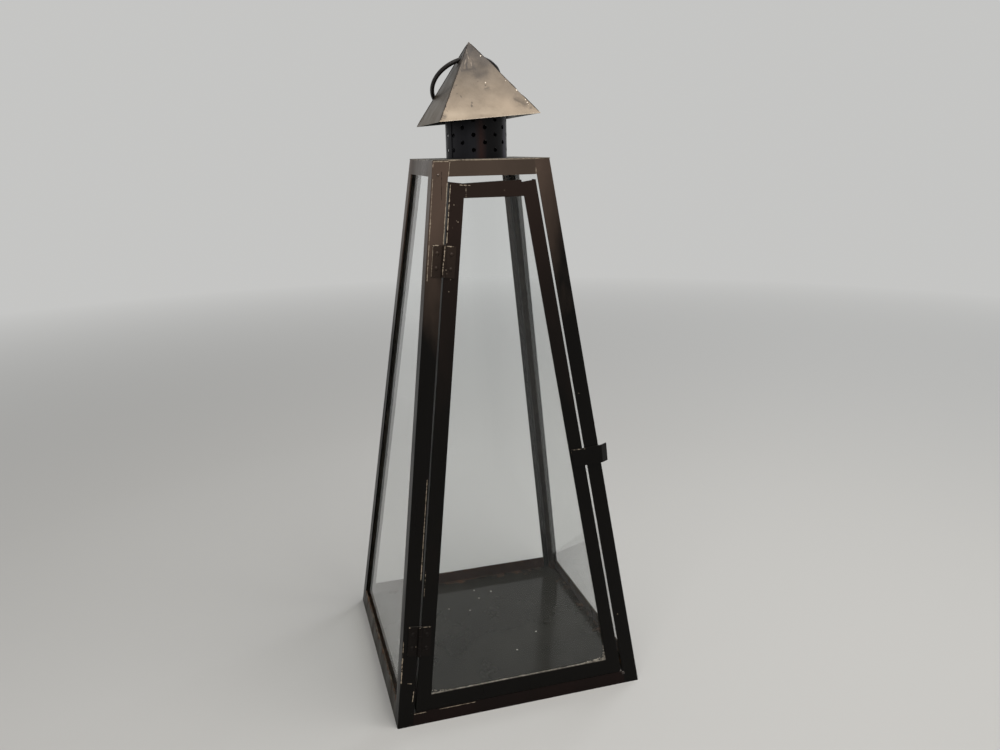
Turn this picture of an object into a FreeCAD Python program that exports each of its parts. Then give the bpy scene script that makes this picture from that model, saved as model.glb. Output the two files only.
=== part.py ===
"""Tall candle lantern: a tapering four-sided frame of folded steel angle with glass panes,
a hinged glass door, a perforated chimney tube and a pyramid cap with a carrying ring.

Millimetres, +Z up.  The origin is the middle of the base square, on the surface that the
lantern stands on.  The door is on the -Y side and its hinges are on the -X side.
"""
import FreeCAD, Part
import math
import os
from FreeCAD import Matrix, Placement, Rotation, Vector

# ---------------------------------------------------------------- driving dimensions
base_width = 300.0          # outer width across the base
top_width = 132.0           # outer width across the top of the body
body_height = 626.0         # ground to the top plate

sheet = 1.5                 # wall of the folded angles
bend_radius = 1.6           # outer radius of a fold
post_leg = 18.0             # visible width of each leg of a corner post
top_rail_height = 16.3      # visible height of the rails under the top plate
top_rail_lip = 9.0          # inward lip that the top plate lies on
base_rail_height = 25.0     # side and back rails at the base
sill_height = 15.0          # front rail at the base, below the door
base_rail_lip = 15.0        # inward lip that the floor pan stands on

top_plate_thickness = 1.2
floor_height = 8.0          # top of the floor pan above the ground
floor_sheet = 1.0
floor_clearance = 0.3       # floor pan to the inside of the rails

glass_thickness = 2.0
glass_bed = 3.0             # glazing compound between a post's leg and the pane behind it
glass_corner_gap = 0.5      # pane edge to the inner face of the neighbouring pane
glass_edge_gap = 0.5        # pane edge to a lip above or below it
bead_width = 3.5            # how far a bead of glazing compound laps a pane

door_gap_left = 2.0         # post to door on the hinge side
door_gap_right = 2.3        # door to post on the catch side
door_gap_top = 5.5          # door to the top rail, at the outer corners
door_top_drop = 2.3         # left end of the door's top rail below its right end
door_gap_bottom = 1.0       # sill to door
door_stile_width = 17.0
door_rail_height = 17.5
door_leg_depth = 11.0       # depth of the folded edge of the door frame
door_proud = 0.3            # door face in front of the frame face

hinge_height = 34.5
hinge_reach = 13.0          # pin axis to the outer edge of a leaf
hinge_leaf = 1.0            # leaf thickness
hinge_corner_radius = 1.0
hinge_end_distance = 83.5   # end of the door to the middle of a hinge
knuckle_diameter = 4.0
knuckle_lift = 0.5          # knuckle in front of the frame face
knuckle_share = 0.40        # share of the hinge height in the middle, door knuckle
knuckle_end_gap = 0.3
knuckle_edge_gap = 0.4      # knuckle to the notched edge of the other leaf
pin_diameter = 2.0
pin_clearance = 0.05        # radial
pin_head_diameter = 3.4
pin_head_height = 0.8

rivet_head_diameter = 4.8
rivet_head_height = 1.1
rivet_shank_diameter = 2.8
rivet_clearance = 0.05      # radial
rivet_spacing = 16.0        # between the two rivets of a leaf
rivet_inset = 5.0           # rivet middle to the outer edge of a leaf

catch_level = 286.4         # middle of the catch strip above the ground
catch_height = 21.0
catch_thickness = 1.2
catch_tilt = 3.0            # degrees, right end up
catch_overhang = 1.4        # flat part of the strip past the post
catch_tab_length = 10.5
catch_tab_angle = 35.0      # degrees, bent back past the post
catch_bend_radius = 1.0
catch_inset = 1.3           # inner edge of the stile to the end of the strip

tube_diameter = 70.0
tube_wall = 0.8
tube_rise = 71.0            # top plate to the middle of the tube's upper rim
tube_hole_clearance = 0.1   # radial, tube in the top plate
tube_tab_count = 6
tube_tab_width = 10.0
tube_tab_length = 7.0
seam_azimuth = -70.0        # degrees from -Y towards +X
seam_lap = 5.0

vent_diameter = 4.8
vent_row_pitch = 8.1
vent_first_row = 9.3        # above the top plate
vent_rows = 5
vent_column_pitch = 42.33   # degrees
vent_first_column = -62.0   # degrees from -Y towards +X

roof_width = 115.0
roof_rise = 84.5
roof_sheet = 0.8
roof_lean_left = 4.2        # degrees
roof_lean_back = 1.2        # degrees
roof_turn = 1.4             # degrees
roof_slip = 1.65            # roof axis to the left of the tube axis at the rim
roof_rim_clearance = 0.1
tack_radius = 4.5
tack_length = 12.0

ring_radius = 40.1          # to the middle of the wire
ring_wire = 5.0
ring_hole_clearance = 2.4   # radial, wire in the two holes of the cap
ring_hole_drop = 18.4       # apex to the line through the two ring holes
ring_rest_gap = 0.3         # ring to the ridges that it has fallen on

# ---------------------------------------------------------------- derived dimensions
slope = (base_width - top_width) / 2 / body_height      # inward per unit of height
lean_stretch = math.hypot(1.0, slope)
wall = sheet * lean_stretch                             # folded sheet, measured level
glass = glass_thickness * lean_stretch                  # glass, measured level
glass_front = wall + glass_bed                          # faces of a fixed pane, measured
glass_back = glass_front + glass                        # level from the frame's outer face
pane_edge = glass_back + glass_corner_gap               # from the slanted edge
frame_top = body_height - top_plate_thickness           # top of the posts and rails

door_bottom = sill_height + door_gap_bottom
door_top = frame_top - top_rail_height - door_gap_top
stile_left = post_leg + door_gap_left                   # from the slanted left edge
stile_right = post_leg + door_gap_right                 # from the slanted right edge
rail_left = stile_left + door_stile_width               # ends of the door's rails
rail_right = stile_right + door_stile_width
door_rebate_top = door_top - door_top_drop - sheet      # under the lowest end of the top fold
proud = door_proud * lean_stretch

pin_inset = post_leg + door_gap_left / 2                # from the slanted left edge
pin_height = knuckle_diameter / 2 + knuckle_lift        # pin axis in front of the face
hinge_levels = (door_bottom + hinge_end_distance, door_top - hinge_end_distance)

roof_half = roof_width / 2
roof_slope = roof_half / roof_rise
roof_stretch = math.hypot(1.0, roof_slope)
roof_inner_half = roof_half - roof_sheet * roof_stretch
ring_hole_radius = ring_wire / 2 + ring_hole_clearance
ring_axis_height = roof_rise - ring_hole_drop
ring_hole_half = ring_hole_drop * roof_slope
ring_reach = math.sqrt(ring_radius ** 2 - ring_hole_half ** 2)  # hinge line to ring centre


# ---------------------------------------------------------------- general helpers
def save(name, shape):
    shape.exportStep("parts/" + name + ".step")


def half_width(z):
    """Half of the outer width of the body at height z."""
    return base_width / 2 - slope * z


def polygon_face(points):
    return Part.Face(Part.makePolygon(points + [points[0]]))


def solid_of(points, faces):
    """A closed solid from corner points and the point numbers of each flat face."""
    shell = Part.Shell([polygon_face([points[i] for i in face]) for face in faces])
    solid = Part.Solid(shell)
    if solid.Volume < 0:
        solid.reverse()
    return solid


def turned(shape, degrees):
    """A copy turned about the upright axis: 90 degrees takes the front to the right."""
    copy = shape.copy()
    copy.rotate(Vector(0, 0, 0), Vector(0, 0, 1), degrees)
    return copy


def placed(shape, placement):
    copy = shape.copy()
    copy.Placement = placement.multiply(copy.Placement)
    return copy


def frame_of(origin, across, up, out):
    """The placement whose x, y and z axes are three given unit directions."""
    return Placement(Matrix(across.x, up.x, out.x, origin.x,
                            across.y, up.y, out.y, origin.y,
                            across.z, up.z, out.z, origin.z,
                            0, 0, 0, 1))


def fused(shapes):
    result = shapes[0].fuse(shapes[1:]) if len(shapes) > 1 else shapes[0]
    return result.removeSplitter()


def edge_run(outline, z_low, z_high, side):
    """A run along the slanted front edge: side -1 is the left edge and +1 the right one.

    The level outline is given in distances from that edge: inwards along the front, and
    inwards from the front.  It keeps its size all the way up, as a slanted prism does.
    """
    half = half_width(z_low)
    foot = outline.copy()
    if side > 0:
        foot = foot.mirror(Vector(0, 0, 0), Vector(1, 0, 0))
    foot.translate(Vector(side * half, -half, z_low))
    rise = z_high - z_low
    return foot.extrude(Vector(-side * slope * rise, slope * rise, rise))


def front_bar(section, left_inset, right_inset, tilt=0.0):
    """A bar across the front between two planes parallel to the slanted edges.

    The section lies in the YZ plane as (distance inwards from the front face, height).
    A tilted bar rises to the right by tilt per unit, and has that section in its middle.
    """
    drop = base_width * tilt
    outline = [Vector(-base_width, depth - half_width(z - drop), z - drop) for depth, z in section]
    bar = polygon_face(outline).extrude(Vector(2 * base_width, 2 * slope * drop, 2 * drop))
    z_low = min(z for depth, z in section) - abs(drop)
    z_high = max(z for depth, z in section) + abs(drop)
    ends = [
        Vector(left_inset - half_width(z_low), -base_width, z_low),
        Vector(half_width(z_low) - right_inset, -base_width, z_low),
        Vector(half_width(z_high) - right_inset, -base_width, z_high),
        Vector(left_inset - half_width(z_high), -base_width, z_high),
    ]
    return bar.common(polygon_face(ends).extrude(Vector(0, 2 * base_width, 0)))


def angle_outline(leg_along, leg_in, shift=0.0, forward=0.0):
    """A folded angle seen from above, its outer corner rounded, legs along +x and +y."""
    r = bend_radius
    mid = r * (1 - math.sqrt(0.5))
    x0 = shift
    y0 = -forward
    corner = Part.Arc(Vector(x0, y0 + r, 0), Vector(x0 + mid, y0 + mid, 0), Vector(x0 + r, y0, 0))
    points = [
        Vector(x0 + r, y0, 0),
        Vector(x0 + leg_along, y0, 0),
        Vector(x0 + leg_along, y0 + wall, 0),
        Vector(x0 + wall, y0 + wall, 0),
        Vector(x0 + wall, y0 + leg_in, 0),
        Vector(x0, y0 + leg_in, 0),
        Vector(x0, y0 + r, 0),
    ]
    edges = [Part.makeLine(a, b) for a, b in zip(points, points[1:])]
    return Part.Face(Part.Wire(edges + [corner.toShape()]))


def flat_outline(points):
    return polygon_face([Vector(x, y, 0) for x, y in points])


# ---------------------------------------------------------------- body frame
sides = {"front": 0, "right": 90, "back": 180, "left": 270}
corners = {"front_left": 0, "front_right": 90, "back_right": 180, "back_left": 270}


def corner_post():
    return edge_run(angle_outline(post_leg, post_leg), 0, frame_top, -1)


def top_rail():
    """Strip between two posts, with a lip folded inwards under the top plate."""
    low = frame_top - top_rail_height
    section = [
        (0, low),
        (wall, low),
        (wall, frame_top - sheet),
        (top_rail_lip, frame_top - sheet),
        (top_rail_lip, frame_top),
        (0, frame_top),
    ]
    return front_bar(section, post_leg, post_leg)


def base_rail(height):
    """Strip between two posts, with a lip folded inwards at the ground."""
    section = [
        (0, 0),
        (base_rail_lip, 0),
        (base_rail_lip, sheet),
        (wall, sheet),
        (wall, height),
        (0, height),
    ]
    return front_bar(section, post_leg, post_leg)


def top_plate():
    half = half_width(frame_top)
    plate = Part.makeBox(2 * half, 2 * half, top_plate_thickness, Vector(-half, -half, frame_top))
    bore = Part.makeCylinder(tube_diameter / 2 + tube_hole_clearance, 2 * top_plate_thickness,
                             Vector(0, 0, frame_top - top_plate_thickness / 2))
    return plate.cut(bore)


def floor_pan():
    """Sheet with turned-down edges, standing on the lips of the base rails."""
    half = half_width(floor_height) - wall - floor_clearance
    rim = floor_height - sheet
    pan = Part.makeBox(2 * half, 2 * half, rim, Vector(-half, -half, sheet))
    hollow_half = half - floor_sheet
    hollow = Part.makeBox(2 * hollow_half, 2 * hollow_half, rim - floor_sheet,
                          Vector(-hollow_half, -hollow_half, sheet))
    return pan.cut(hollow)


# ---------------------------------------------------------------- fixed glass
def fixed_pane():
    low = floor_height
    high = frame_top - sheet - glass_edge_gap
    section = [(glass_front, low), (glass_back, low), (glass_back, high), (glass_front, high)]
    return front_bar(section, pane_edge, pane_edge)


def corner_bead(corner):
    """Glazing compound in the inner corner of a post, bedding the pane or panes there."""
    lap = pane_edge + bead_width
    side_pane = [(glass_back, lap), (glass_back, pane_edge), (glass_front, pane_edge),
                 (glass_front, lap), (wall, lap), (wall, wall), (lap, wall)]
    low = floor_height
    high = frame_top - sheet - glass_edge_gap
    if corner.startswith("front"):
        outline = flat_outline(side_pane)
        return edge_run(outline, low, high, -1 if corner == "front_left" else 1)
    outline = flat_outline(side_pane + [(lap, glass_front), (pane_edge, glass_front),
                                        (pane_edge, glass_back), (lap, glass_back)])
    return turned(edge_run(outline, low, high, -1), corners[corner])


# ---------------------------------------------------------------- door
def door_stile(side):
    """Folded stile; its upper end is cut square to the leaning stile."""
    shift = stile_left if side < 0 else stile_right
    outline = angle_outline(door_stile_width, door_leg_depth, shift, proud)
    stile = edge_run(outline, door_bottom, door_top, side)
    corner = Vector(side * (half_width(door_top) - shift), 0, door_top)
    offcut = Part.makeBox(2 * base_width, 2 * base_width, door_stile_width,
                          Vector(-base_width, -base_width, 0))
    lean = Rotation(Vector(0, 1, 0), -side * math.degrees(math.atan(slope)))
    return stile.cut(placed(offcut, Placement(corner, lean)))


def rail_face(low, high):
    return [(-proud, low), (wall - proud, low), (wall - proud, high), (-proud, high)]


def rail_fold(low, high):
    """Section of a rail's folded edge, behind its face."""
    deep = door_leg_depth - proud
    return [(wall - proud, low), (deep, low), (deep, high), (wall - proud, high)]


def door_rail_bottom():
    """Level rail between the stiles, folded inwards along its lower edge."""
    strip = front_bar(rail_face(door_bottom, door_bottom + door_rail_height), rail_left, rail_right)
    fold = front_bar(rail_fold(door_bottom, door_bottom + sheet), stile_left + wall, stile_right + wall)
    return fused([strip, fold])


def door_rail_top():
    """Rail with a level lower edge and a folded upper edge that falls towards the hinges."""
    tilt = door_top_drop / (2 * half_width(door_top) - rail_left - rail_right)
    middle = door_top - door_top_drop / 2
    low = door_top - door_rail_height
    sloping = front_bar(rail_face(low - door_rail_height, middle), rail_left, rail_right, tilt)
    level = front_bar(rail_face(low, door_top + door_rail_height), rail_left, rail_right)
    fold = front_bar(rail_fold(middle - sheet, middle), rail_left, rail_right, tilt)
    return fused([sloping.common(level), fold])


def door_pane():
    near = wall - proud
    low = door_bottom + sheet + glass_edge_gap
    high = door_rebate_top - glass_edge_gap
    section = [(near, low), (near + glass, low), (near + glass, high), (near, high)]
    return front_bar(section, stile_left + wall + glass_edge_gap, stile_right + wall + glass_edge_gap)


def door_bead():
    """Glazing compound round the back of the door pane, against the folded edges."""
    back = wall - proud + glass
    lap = bead_width
    low = door_bottom + sheet
    high = door_rebate_top
    runs = []
    for side, shift in ((-1, stile_left + wall), (1, stile_right + wall)):
        outline = flat_outline([(shift, back), (shift + lap, back), (shift, back + lap)])
        runs.append(edge_run(outline, low, high, side))
    for start, end in ((low, low + lap), (high, high - lap)):
        section = [(back, start), (back + lap, start), (back, end)]
        runs.append(front_bar(section, stile_left + wall, stile_right + wall))
    return fused(runs)


# ---------------------------------------------------------------- hinges
hinge_up = Vector(slope, slope, 1).normalize()          # along the slanted left edge
face_out = Vector(0, -1, slope).normalize()             # out of the front face
hinge_across = hinge_up.cross(face_out)                 # to the right, in the front face


def hinge_frame(level):
    """Placement at the middle of a hinge: x to the door, y along the pin, z outwards."""
    half = half_width(level)
    return frame_of(Vector(pin_inset - half, -half, level), hinge_across, hinge_up, face_out)


def knuckle(low, high):
    start = Vector(0, low, pin_height)
    return Part.makeCylinder(knuckle_diameter / 2, high - low, start, Vector(0, 1, 0))


def hinge_leaf_shape(direction, lift, barrels):
    """A leaf from the pin outwards (direction -1 or +1) with its rolled knuckles."""
    half = hinge_height / 2
    reach = hinge_reach
    start = knuckle_diameter / 2 + knuckle_edge_gap
    left = min(direction * start, direction * reach)
    plate = Part.makeBox(reach - start, hinge_height, hinge_leaf, Vector(left, -half, lift))
    outer = [e for e in plate.Edges
             if abs(e.Vertexes[0].X - direction * reach) < 1e-6
             and abs(e.Vertexes[1].X - direction * reach) < 1e-6
             and abs(e.Vertexes[0].Z - e.Vertexes[1].Z) > hinge_leaf / 2]
    plate = plate.makeFillet(hinge_corner_radius, outer)
    pieces = [plate]
    for low, high in barrels:
        neck = Part.makeBox(start, high - low, hinge_leaf, Vector(min(0, direction * start), low, lift))
        pieces += [neck, knuckle(low, high)]
    leaf = fused(pieces)
    bore = Part.makeCylinder(pin_diameter / 2 + pin_clearance, 2 * hinge_height,
                             Vector(0, -hinge_height, pin_height), Vector(0, 1, 0))
    leaf = leaf.cut(bore)
    for spot in rivet_spots(direction):
        hole = Part.makeCylinder(rivet_shank_diameter / 2 + rivet_clearance, 4 * hinge_leaf,
                                 Vector(spot.x, spot.y, -hinge_leaf))
        leaf = leaf.cut(hole)
    return leaf


def rivet_spots(direction):
    x = direction * (hinge_reach - rivet_inset)
    return [Vector(x, -rivet_spacing / 2, 0), Vector(x, rivet_spacing / 2, 0)]


def knuckle_spans():
    """Heights of the lower, middle and upper knuckles along the pin."""
    half = hinge_height / 2
    middle = hinge_height * knuckle_share / 2
    gap = knuckle_end_gap
    return [(-half, -middle - gap), (-middle, middle), (middle + gap, half)]


def rivet(spot, lift, grip):
    """Dome head on the leaf, shank through leaf and frame, closed flush behind."""
    seat = lift + hinge_leaf
    r = rivet_head_diameter / 2
    h = rivet_head_height
    sphere_radius = (r * r + h * h) / (2 * h)
    ball = Part.makeSphere(sphere_radius, Vector(spot.x, spot.y, seat + h - sphere_radius))
    slab = Part.makeCylinder(r, h, Vector(spot.x, spot.y, seat))
    shank = Part.makeCylinder(rivet_shank_diameter / 2, seat + grip, Vector(spot.x, spot.y, -grip))
    return fused([ball.common(slab), shank])


def rivet_bore(spot, grip):
    radius = rivet_shank_diameter / 2 + rivet_clearance
    return Part.makeCylinder(radius, 4 * grip, Vector(spot.x, spot.y, -2 * grip))


def hinge_pin():
    half = hinge_height / 2
    shank = Part.makeCylinder(pin_diameter / 2, hinge_height, Vector(0, -half, pin_height),
                              Vector(0, 1, 0))
    head = Part.makeCylinder(pin_head_diameter / 2, pin_head_height, Vector(0, half, pin_height),
                             Vector(0, 1, 0))
    rim = [e for e in head.Edges if e.BoundBox.YMin > half + pin_head_height / 2]
    return fused([shank, head.makeChamfer(pin_head_height / 2, rim)])


# ---------------------------------------------------------------- catch
def catch_strip():
    """Spring strip on the door stile; its end is bent back past the outside of the post."""
    half = half_width(catch_level)
    length = stile_right + door_stile_width + catch_overhang - catch_inset
    t = catch_thickness
    angle = math.radians(catch_tab_angle)
    tab_end = Vector(length + catch_tab_length * math.cos(angle), -catch_tab_length * math.sin(angle), 0)
    normal = Vector(math.sin(angle), math.cos(angle), 0) * t
    outer_bend = Vector(length + t * math.tan(angle / 2), t, 0)
    profile = polygon_face([
        Vector(0, 0, 0),
        Vector(length, 0, 0),
        tab_end,
        tab_end + normal,
        outer_bend,
        Vector(0, t, 0),
    ])
    strip = profile.extrude(Vector(0, 0, catch_height))
    for corner, radius in ((outer_bend.x, t + catch_bend_radius), (length, catch_bend_radius)):
        bend = [e for e in strip.Edges
                if all(abs(v.X - corner) < 1e-6 for v in e.Vertexes)]
        strip = strip.makeFillet(radius, bend)
    tilt = Rotation(face_out, catch_tilt)
    across = tilt.multVec(Vector(1, 0, 0))
    up = face_out.cross(across)
    start = Vector(half - stile_right - door_stile_width + catch_inset, -half, catch_level)
    origin = start + face_out * door_proud + up * (catch_height / 2)
    return placed(strip, frame_of(origin, across, face_out, up * -1))


# ---------------------------------------------------------------- chimney
def azimuth_point(radius, degrees, z):
    """A point at an angle from the front towards the right."""
    a = math.radians(degrees)
    return Vector(radius * math.sin(a), -radius * math.cos(a), z)


def roof_placement():
    """Cap on the tube's upper rim: its rim-level centre has slipped off the tube axis."""
    rotation = Rotation(Vector(0, 1, 0), -roof_lean_left)
    rotation = rotation.multiply(Rotation(Vector(1, 0, 0), -roof_lean_back))
    rotation = rotation.multiply(Rotation(Vector(0, 0, 1), roof_turn))
    rim_centre = Vector(0, 0, body_height + tube_rise)
    seat = rotation.multVec(Vector(roof_slip, 0, rim_level()))
    return Placement(rim_centre - seat, rotation)


def rim_level():
    """Height above the cap's lower edge at which the tube meets its inner faces."""
    needed = tube_diameter / 2 + roof_slip + roof_rim_clearance
    return (roof_inner_half - needed) / roof_slope


def vent_columns(row):
    """Azimuths of the holes of one row: every other row is set off by half a pitch."""
    first = vent_first_column + (row % 2) * vent_column_pitch / 2
    last = seam_azimuth + 360
    columns = []
    while first < last - vent_column_pitch / 5:
        columns.append(first)
        first += vent_column_pitch
    return columns


def chimney_tube():
    """Rolled perforated tube: lap seam, upper rim parallel to the cap, tabs at the foot."""
    outer = tube_diameter / 2
    foot = frame_top - tube_wall
    height = body_height + tube_rise + tube_diameter / 2 - foot
    shell = Part.makeCylinder(outer, height, Vector(0, 0, foot))
    lap = math.degrees(seam_lap / outer)
    strip = Part.makeCylinder(outer + tube_wall, height, Vector(0, 0, body_height),
                              Vector(0, 0, 1), lap)
    strip = turned(strip, seam_azimuth - 90 - lap / 2)
    tabs = []
    ring = Part.makeCylinder(outer + tube_tab_length, tube_wall, Vector(0, 0, foot))
    for k in range(tube_tab_count):
        bar = Part.makeBox(outer + 2 * tube_tab_length, tube_tab_width, tube_wall,
                           Vector(0, -tube_tab_width / 2, foot))
        tabs.append(turned(bar, k * 360 / tube_tab_count).common(ring))
    tube = fused([shell, strip] + tabs)
    tube = tube.cut(Part.makeCylinder(outer - tube_wall, 2 * height, Vector(0, 0, foot - height / 2)))
    above = Part.makeBox(2 * roof_width, 2 * roof_width, 2 * roof_rise,
                         Vector(-roof_width, -roof_width, rim_level()))
    tube = tube.cut(placed(above, roof_placement()))
    vents = []
    for row in range(vent_rows):
        z = body_height + vent_first_row + row * vent_row_pitch
        for azimuth in vent_columns(row):
            inside = azimuth_point(outer - 4 * tube_wall, azimuth, z)
            vents.append(Part.makeCylinder(vent_diameter / 2, 8 * tube_wall, inside,
                                           azimuth_point(1, azimuth, 0)))
    return tube.cut(vents)


# ---------------------------------------------------------------- cap and ring
def pyramid(half, rise):
    points = [Vector(-half, -half, 0), Vector(half, -half, 0), Vector(half, half, 0),
              Vector(-half, half, 0), Vector(0, 0, rise)]
    return solid_of(points, [(3, 2, 1, 0), (0, 1, 4), (1, 2, 4), (2, 3, 4), (3, 0, 4)])


def roof_inside():
    return pyramid(roof_inner_half, roof_inner_half / roof_slope)


def roof_cap():
    cap = pyramid(roof_half, roof_rise).cut(roof_inside())
    for side in (-1, 1):
        out = Vector(side, 0, roof_slope).normalize()
        middle = Vector(side * ring_hole_half, 0, ring_axis_height)
        cap = cap.cut(Part.makeCylinder(ring_hole_radius, 6 * roof_sheet,
                                        middle - out * 3 * roof_sheet, out))
    return placed(cap, roof_placement())


def roof_tacks():
    """Four brazed tacks between the tube's rim and the inner faces of the cap."""
    level = rim_level() - tack_radius / 2
    room = placed(roof_inside(), roof_placement())
    core = Part.makeCylinder(tube_diameter / 2, 4 * tube_rise, Vector(0, 0, body_height))
    tacks = []
    for azimuth in (0, 90, 180, 270):
        middle = azimuth_point(tube_diameter / 2 + tack_radius / 3, azimuth, level)
        along = azimuth_point(1, azimuth + 90, 0)
        bead = Part.makeCylinder(tack_radius, tack_length, middle - along * (tack_length / 2)
                                 + Vector(roof_slip, 0, 0), along)
        tacks.append(placed(bead, roof_placement()).common(room).cut(core))
    return Part.makeCompound(tacks)


def ring_clearance(fall):
    """Smallest distance from the ring's centre line to the ridge behind it, at an angle
    from upright, both taken in the cap's own frame."""
    apex = Vector(0, 0, roof_rise)
    ridge = Vector(1, 1, -1 / roof_slope).normalize()
    up = Vector(0, math.sin(fall), math.cos(fall))
    centre = Vector(0, 0, ring_axis_height) + up * ring_reach
    nearest = ring_radius
    for step in range(360):
        a = math.radians(step / 2)
        point = centre + Vector(ring_radius * math.sin(a), 0, 0) + up * (ring_radius * math.cos(a))
        offset = point - apex
        nearest = min(nearest, (offset - ridge * offset.dot(ridge)).Length)
    return nearest


def ring_fall():
    """Angle from upright at which the fallen ring reaches the two ridges behind it."""
    wanted = ring_wire / 2 + ring_rest_gap
    low = math.pi / 2
    high = math.pi
    for _ in range(40):
        middle = (low + high) / 2
        if ring_clearance(middle) > wanted:
            low = middle
        else:
            high = middle
    return low


def carry_ring():
    fall = ring_fall()
    up = Vector(0, math.sin(fall), math.cos(fall))
    centre = Vector(0, 0, ring_axis_height) + up * ring_reach
    ring = Part.makeTorus(ring_radius, ring_wire / 2, centre, Vector(1, 0, 0).cross(up))
    return placed(ring, roof_placement())


# ---------------------------------------------------------------- build every piece
def build():
    os.makedirs("parts", exist_ok=True)

    posts = {}
    for corner, angle in corners.items():
        posts[corner] = turned(corner_post(), angle)
    stiles = {"left": door_stile(-1), "right": door_stile(1)}

    frame_rivets = []
    door_rivets = []
    for name, level in zip(("lower", "upper"), hinge_levels):
        place = hinge_frame(level)
        spans = knuckle_spans()
        frame_leaf = hinge_leaf_shape(-1, 0, [spans[0], spans[2]])
        door_leaf = hinge_leaf_shape(1, door_proud, [spans[1]])
        save(name + "_hinge_frame_leaf", placed(frame_leaf, place))
        save(name + "_hinge_door_leaf", placed(door_leaf, place))
        save(name + "_hinge_pin", placed(hinge_pin(), place))
        for spot in rivet_spots(-1):
            frame_rivets.append(placed(rivet(spot, 0, sheet), place))
            posts["front_left"] = posts["front_left"].cut(placed(rivet_bore(spot, sheet), place))
        for spot in rivet_spots(1):
            door_rivets.append(placed(rivet(spot, door_proud, sheet - door_proud), place))
            stiles["left"] = stiles["left"].cut(placed(rivet_bore(spot, sheet), place))
    save("hinge_rivets_frame", Part.makeCompound(frame_rivets))
    save("hinge_rivets_door", Part.makeCompound(door_rivets))

    for corner, post in posts.items():
        save("corner_post_" + corner, post)
        save("glazing_bead_" + corner, corner_bead(corner))
    for side, angle in sides.items():
        height = sill_height if side == "front" else base_rail_height
        base = "door_sill" if side == "front" else "base_rail_" + side
        save("top_rail_" + side, turned(top_rail(), angle))
        save(base, turned(base_rail(height), angle))
        if side != "front":
            save("glass_" + side, turned(fixed_pane(), angle))
    save("top_plate", top_plate())
    save("floor_pan", floor_pan())

    save("door_stile_left", stiles["left"])
    save("door_stile_right", stiles["right"])
    save("door_rail_top", door_rail_top())
    save("door_rail_bottom", door_rail_bottom())
    save("door_glass", door_pane())
    save("door_glazing_bead", door_bead())
    save("catch_strip", catch_strip())

    save("chimney_tube", chimney_tube())
    save("roof_cap", roof_cap())
    save("roof_tacks", roof_tacks())
    save("carry_ring", carry_ring())


build()
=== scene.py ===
# %% [markdown]
# # A tall candle lantern
# The lantern is a tapering frame of folded steel angle, glazed on four sides, with a hinged
# glass door, a perforated chimney and a pyramid cap that carries a wire ring.  The measured
# construction is loaded first, and only its cap is swapped, for a dented copy.  This lesson
# gives it its looks: bronze paint rubbed bright along the folds, dusty glass, rust where
# water stood, and the small dents and solder beads of hand-made metalwork.

import math
import random

import bmesh
import bpy
from mathutils import Matrix, Vector, noise


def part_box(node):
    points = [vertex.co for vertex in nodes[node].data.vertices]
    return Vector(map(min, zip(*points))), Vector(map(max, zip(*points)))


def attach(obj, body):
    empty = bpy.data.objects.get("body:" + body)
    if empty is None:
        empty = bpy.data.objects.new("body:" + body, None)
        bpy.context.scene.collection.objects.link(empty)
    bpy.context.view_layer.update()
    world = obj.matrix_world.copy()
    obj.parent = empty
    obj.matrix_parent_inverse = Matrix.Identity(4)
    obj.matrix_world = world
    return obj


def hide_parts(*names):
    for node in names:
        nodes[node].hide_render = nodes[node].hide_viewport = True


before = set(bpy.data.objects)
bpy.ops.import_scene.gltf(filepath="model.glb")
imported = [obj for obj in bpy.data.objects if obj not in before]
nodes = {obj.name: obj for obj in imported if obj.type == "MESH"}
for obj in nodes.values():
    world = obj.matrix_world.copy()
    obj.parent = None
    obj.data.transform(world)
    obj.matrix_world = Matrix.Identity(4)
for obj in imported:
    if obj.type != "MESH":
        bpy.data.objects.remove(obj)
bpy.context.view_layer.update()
scene = bpy.context.scene
scene.view_settings.view_transform = "Standard"
MM = 0.001

# %% [markdown]
# ## Proportions that the looks depend on
# The body is a truncated pyramid: every face leans inwards by the same small slope.  The
# slope is read back from two measured pieces, so that a bead or a blemish placed on a face
# stays on it.  `front_point` gives a point on the leaning front face from its distance to
# the middle and its height.

# %% The slope of the body
base_half = -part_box("door_sill")[0].y
plate_low, plate_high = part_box("top_plate")
top_half = plate_high.x
plate_top = plate_high.z
slope = (base_half - top_half) / plate_low.z


def half_width(z):
    return base_half - slope * z


def front_point(x, z, out=0.0):
    return Vector((x, -half_width(z) - out, z))


face_out = Vector((0, -1, slope)).normalized()
print("half widths", round(base_half, 4), round(top_half, 4), "slope", round(slope, 4))

# %% [markdown]
# ## A small vocabulary for shader trees
# Every finish here is a tree of nodes.  `Graph` wraps one tree: a plain value is typed into
# a socket, and another node's output is linked to it.  That keeps a recipe to one line per
# step, in the order in which a painter would work.

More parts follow.
